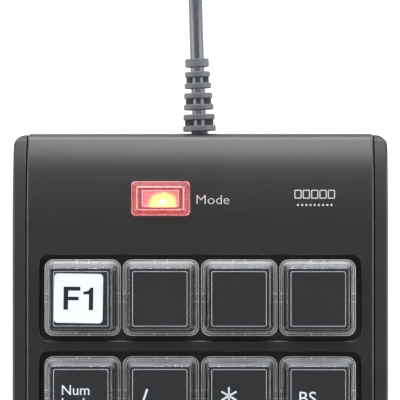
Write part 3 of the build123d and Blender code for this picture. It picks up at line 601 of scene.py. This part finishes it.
def coil_points():
    """Turns of the coil, clockwise from above, from its left side to its right; each turn steps over late."""
    rings = coil_rings()
    total = int((len(rings) - 0.5) * TURN_POINTS)
    points = []
    for index in range(total + 1):
        turn = index // TURN_POINTS
        share = (index % TURN_POINTS) / TURN_POINTS
        step = min(max((share - 0.75) / 0.25, 0.0), 1.0)
        here, after = rings[turn], rings[min(turn + 1, len(rings) - 1)]
        radius = here[0] + (after[0] - here[0]) * step
        height = here[1] + (after[1] - here[1]) * step
        angle = pi - 2 * pi * index / TURN_POINTS
        points.append((COIL_X + radius * cos(angle), COIL_Y + radius * sin(angle), height))
    return points


def add_cord():
    """The lead: from the board through the strain relief to the desk, wound up, and into the plug."""
    curve = bpy.data.curves.new("keypad_cord", "CURVE")
    curve.dimensions = "3D"
    curve.bevel_depth = CORD_D / 2
    curve.bevel_resolution = 5
    curve.resolution_u = 6
    curve.use_fill_caps = True
    points = LEAD + coil_points() + TAIL
    line = curve.splines.new("NURBS")
    line.points.add(len(points) - 1)
    for point, place in zip(line.points, points):
        point.co = (*(Vector(place) * MM), 1.0)
    line.order_u = 3
    line.use_endpoint_u = True
    curve.materials.append(SURFACES["cord_jacket"])
    cord = bpy.data.objects.new("keypad_cord", curve)
    bpy.context.scene.collection.objects.link(cord)
    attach(cord, "case")
    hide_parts("cord", "cord_coil")
    return cord


TIE_WIDTH = 3.0 * MM
TIE_T = 0.5 * MM
TIE_ACROSS = 14.0 * MM  # inner width of a tie round the turns
STRAND_R = 0.45 * MM
STRAND_SWING = 0.55 * MM
STRAND_STEPS, STRAND_SIDES = 18, 8
STRAND_TWIST = 0.55  # radians that the twisted ends turn at each step
STRAND_RUN = 9 * MM
TIE_ANGLES = {"coil_tie_left": radians(205), "coil_tie_right": radians(315)}


def twist_ends(made, top):
    """Adds a tie's two ends, twisted round each other and laid along the turns, over the strap's top."""
    for strand in (0, 1):
        rings = []
        for step in range(STRAND_STEPS + 1):
            turn = strand * pi + step * STRAND_TWIST
            reach = step / STRAND_STEPS
            swing = STRAND_SWING * (1 - 0.3 * reach)
            rise = top + 0.35 * MM + swing * 0.5 * sin(turn)
            centre = Vector((swing * cos(turn), rise, (reach - 0.5) * STRAND_RUN))
            ring = []
            for side in range(STRAND_SIDES):
                spoke = 2 * pi * side / STRAND_SIDES
                offset = Vector((STRAND_R * cos(spoke), STRAND_R * sin(spoke), 0))
                ring.append(made.verts.new(centre + offset))
            rings.append(ring)
        for first, second in zip(rings, rings[1:]):
            for side in range(STRAND_SIDES):
                after = (side + 1) % STRAND_SIDES
                made.faces.new((first[side], first[after], second[after], second[side]))
        made.faces.new(rings[0][::-1])
        made.faces.new(rings[-1])


def add_tie(name, angle):
    """Strap round the coil's turns, with its twisted ends on the top."""
    low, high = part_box("cord_coil")
    tall = high.z - low.z
    seat = Matrix.Translation((COIL_X * MM, COIL_Y * MM, 0)) @ Matrix.Rotation(angle, 4, "Z")
    seat = seat @ Matrix.Translation((COIL_MEAN_R * MM, 0, tall / 2 + TIE_T / 2))
    seat = seat @ Matrix.Rotation(pi / 2, 4, "X")
    made = bmesh.new()
    loops = []
    for margin, ends in ((TIE_T, (-1, 1)), (0.0, (1, -1))):
        for end in ends:
            outline = rounded(TIE_ACROSS + 2 * margin, tall - TIE_T + 2 * margin, 2.6 * MM + margin, 5)
            loops.append([made.verts.new((x, y, end * TIE_WIDTH / 2)) for x, y in outline])
    count = len(loops[0])
    for first, second in zip(loops, loops[1:] + loops[:1]):
        for index in range(count):
            after = (index + 1) % count
            made.faces.new((first[index], first[after], second[after], second[index]))
    twist_ends(made, tall / 2 + TIE_T)
    bmesh.ops.recalc_face_normals(made, faces=made.faces)
    mesh = bpy.data.meshes.new(name)
    made.to_mesh(mesh)
    made.free()
    mesh.shade_smooth()
    mesh.set_sharp_from_angle(angle=radians(40))
    mesh.transform(seat)
    return add_piece(name, mesh, TIE_PLASTIC, "case")


# ================================================================ inside of the USB plug
def block(low, high):
    """Closed box between two corners, with its edges taken off."""
    made = bmesh.new()
    bmesh.ops.create_cube(made, size=1.0)
    size, middle = high - low, (high + low) / 2
    bmesh.ops.scale(made, vec=size, verts=made.verts)
    bmesh.ops.translate(made, vec=middle, verts=made.verts)
    bmesh.ops.bevel(made, geom=made.edges[:], offset=min(size) * 0.18, segments=2, affect="EDGES")
    mesh = bpy.data.meshes.new("block")
    made.to_mesh(mesh)
    made.free()
    return mesh


def add_plug_inside():
    """White tongue in the plug's shell, with its four contacts on the upper face."""
    low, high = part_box("usb_plug_shell")
    middle = (low + high) / 2
    half, tongue_top = 5.5 * MM, middle.z - 0.1 * MM
    tongue_low = Vector((middle.x - half, low.y + 0.6 * MM, tongue_top - 1.75 * MM))
    tongue = block(tongue_low, Vector((middle.x + half, high.y - 1.6 * MM, tongue_top)))
    pieces = [add_piece("usb_tongue", tongue, TONGUE_PLASTIC, "case")]
    contacts = []
    for place, reach in ((-3.5, 7.4), (-1.0, 6.4), (1.0, 6.4), (3.5, 7.4)):
        start = Vector((middle.x + (place - 0.5) * MM, low.y + 1.3 * MM, tongue_top - 0.1 * MM))
        contacts.append(block(start, start + Vector((1.0, reach, 0.22)) * MM))
    pieces.append(add_piece("usb_contacts", joined(contacts), CONTACT_GOLD, "case"))
    return pieces


def add_lead_and_plug():
    cord = add_cord()
    on_cord = [nodes["strain_relief"], nodes["usb_plug_grip"], nodes["usb_plug_shell"]]
    on_cord += [add_tie(name, angle) for name, angle in TIE_ANGLES.items()]
    on_cord += add_plug_inside()


# ================================================================ floor and light
def add_floor():
    """Plain white floor under the rubber feet."""
    material, tree, shader, where = new_material("floor")
    faint = spread(tree, noise(tree, where, 60 * MM), 0.0, 1.0)
    white = blend_colours(tree, faint, (0.86, 0.86, 0.86), (0.88, 0.88, 0.88))
    tree.links.new(white, shader.inputs["Base Color"])
    shader.inputs["Roughness"].default_value = 0.9
    shader.inputs["Emission Color"].default_value = (1.0, 1.0, 1.0, 1.0)
    shader.inputs["Emission Strength"].default_value = FLOOR_GLOW
    mesh = plates([rounded(6.0, 6.0, 1.0)], 0.01)
    floor = bpy.data.objects.new("floor", shifted(mesh, 0, 0, -0.01))
    floor.data.materials.append(material)
    bpy.context.scene.collection.objects.link(floor)


FLOOR_GLOW = 0.45
SKY = [(0.0, 0.9), (0.5, 0.95), (0.66, 0.76), (0.80, 0.34), (1.0, 0.21)]  # height of view 0..1, brightness


def add_sky():
    """Soft white surround: bright at eye level, dimmer overhead."""
    world = bpy.data.worlds.new("studio")
    bpy.context.scene.world = world
    world.use_nodes = True
    tree = world.node_tree
    direction = tree.nodes.new("ShaderNodeTexCoord").outputs["Generated"]
    height = add_node(tree, "ShaderNodeSeparateXYZ", {0: direction}).outputs["Z"]
    ramp = add_node(tree, "ShaderNodeValToRGB", {"Fac": spread(tree, height, 0.0, 1.0, -1.0, 1.0)})
    stops = ramp.color_ramp.elements
    while len(stops) < len(SKY):
        stops.new(0.5)
    for stop, (place, level) in zip(stops, SKY):
        stop.position = place
        stop.color = (level, level, level * 1.01, 1.0)
    tree.links.new(ramp.outputs["Color"], tree.nodes["Background"].inputs["Color"])


SOFTBOXES = [
    # name, place, aim, width and height, watts
    ("rear_softbox", (0.0, 0.97, 0.83), (0.0, 0.05, 0.0), (0.42, 0.5), 6.4),
    ("low_rear_softbox", (0.0, 1.2, 0.27), (0.0, 0.06, 0.02), (0.9, 0.2), 10.0),
    ("left_softbox", (-0.9, 0.1, 0.40), (0.0, 0.0, 0.0), (0.5, 0.9), 5.0),
    ("right_softbox", (0.9, 0.1, 0.40), (0.0, 0.0, 0.0), (0.5, 0.9), 5.0),
]


def add_softbox(name, place, aim, size, power):
    lamp = bpy.data.lights.new(name, "AREA")
    lamp.shape = "RECTANGLE"
    lamp.size, lamp.size_y = size
    lamp.energy = power
    softbox = bpy.data.objects.new(name, lamp)
    softbox.location = place
    softbox.rotation_euler = (Vector(aim) - Vector(place)).to_track_quat("-Z", "Y").to_euler()
    bpy.context.scene.collection.objects.link(softbox)


def add_light():
    add_sky()
    for softbox in SOFTBOXES:
        add_softbox(*softbox)


# ================================================================ the scene
add_camera()
add_lead_and_plug()
dress_frame()
blend_seams(nodes["top_cover"], SEAM_ANGLE)
blend_seams(nodes["bottom_case"], SEAM_ANGLE)
add_legends()
add_mode_lettering()
add_panel_mark()
add_mode_glow()
add_floor()
add_light()
bpy.context.scene.view_settings.view_transform = "Standard"
